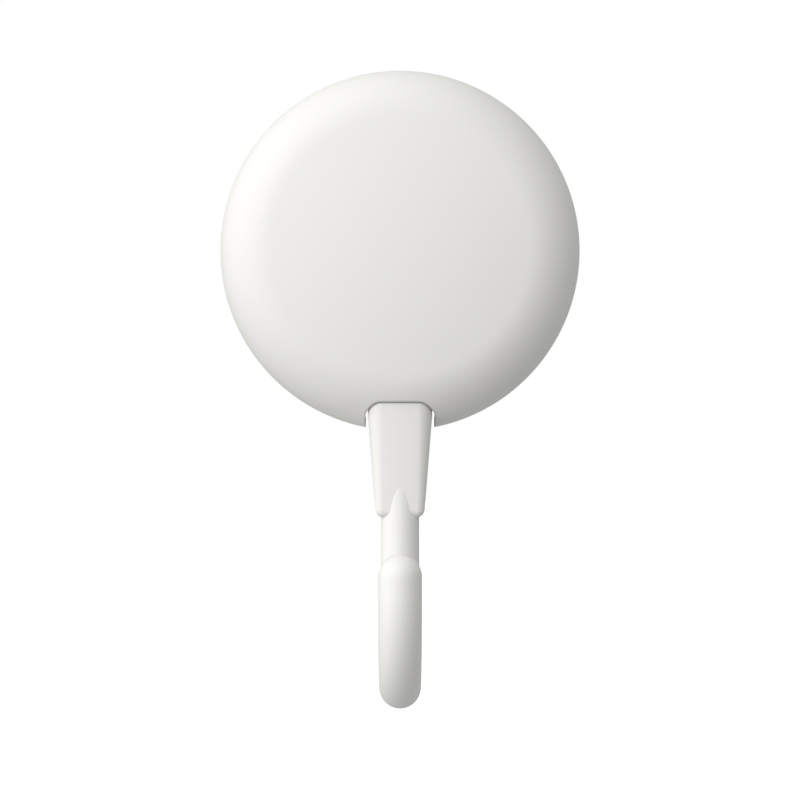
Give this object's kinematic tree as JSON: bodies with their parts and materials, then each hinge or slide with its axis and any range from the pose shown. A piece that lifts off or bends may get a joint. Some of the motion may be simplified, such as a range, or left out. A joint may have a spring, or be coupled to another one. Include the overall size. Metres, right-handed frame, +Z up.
{
  "type": "suction wall hook",
  "caption": "Round domed wall hook with a J-shaped rod that locks onto smooth walls by a twist-operated suction cup.",
  "frame": {"origin": "centre of the suction cup's sealing face, on the wall plane", "axes": "+Y into the wall, -Y out towards the room, +Z up with the hook hanging below the cover, +X to the right seen from the room"},
  "size_m": [0.0604, 0.0452, 0.1026],
  "materials": {
    "white_plastic": "satin moulded white",
    "white_coating": "satin white coating on steel",
    "carrier_plastic": "plain moulded",
    "acetal": "natural acetal, slightly waxy",
    "bearing_plastic": "smooth low-friction",
    "cup_rubber": "smooth soft rubber",
    "sealing_gel": "glossy soft gel",
    "steel": "turned and ground steel"
  },
  "bodies": {
    "base": {"sealing_ring": "sealing_gel", "suction_cup": "cup_rubber", "pressure_plate": "acetal", "glide_ring": "bearing_plastic", "thrust_washer": "bearing_plastic"},
    "front": {"cam_ring": "acetal", "hook_carrier": "carrier_plastic", "arm_pins": "steel", "hook_arm": "white_plastic", "hook_rod": "white_coating", "front_cover": "white_plastic"},
    "stem": {"anchor_disc": "steel", "pull_stem": "steel", "cross_pin": "steel"}
  },
  "joints": [
    {"name": "twist_lock", "type": "hinge", "parent": "base", "child": "front", "pos_m": [0, 0, 0], "axis": [0, -1, 0], "range_deg": [0, 90]},
    {"name": "stem_pull", "type": "slide", "parent": "base", "child": "stem", "axis": [0, 1, 0], "range_m": [0, 0.0028], "deforming": ["suction_cup"]}
  ],
  "couplings": [
    {"joint": "stem_pull", "follows": "twist_lock", "m_per_rad": 0.0017825}
  ]
}
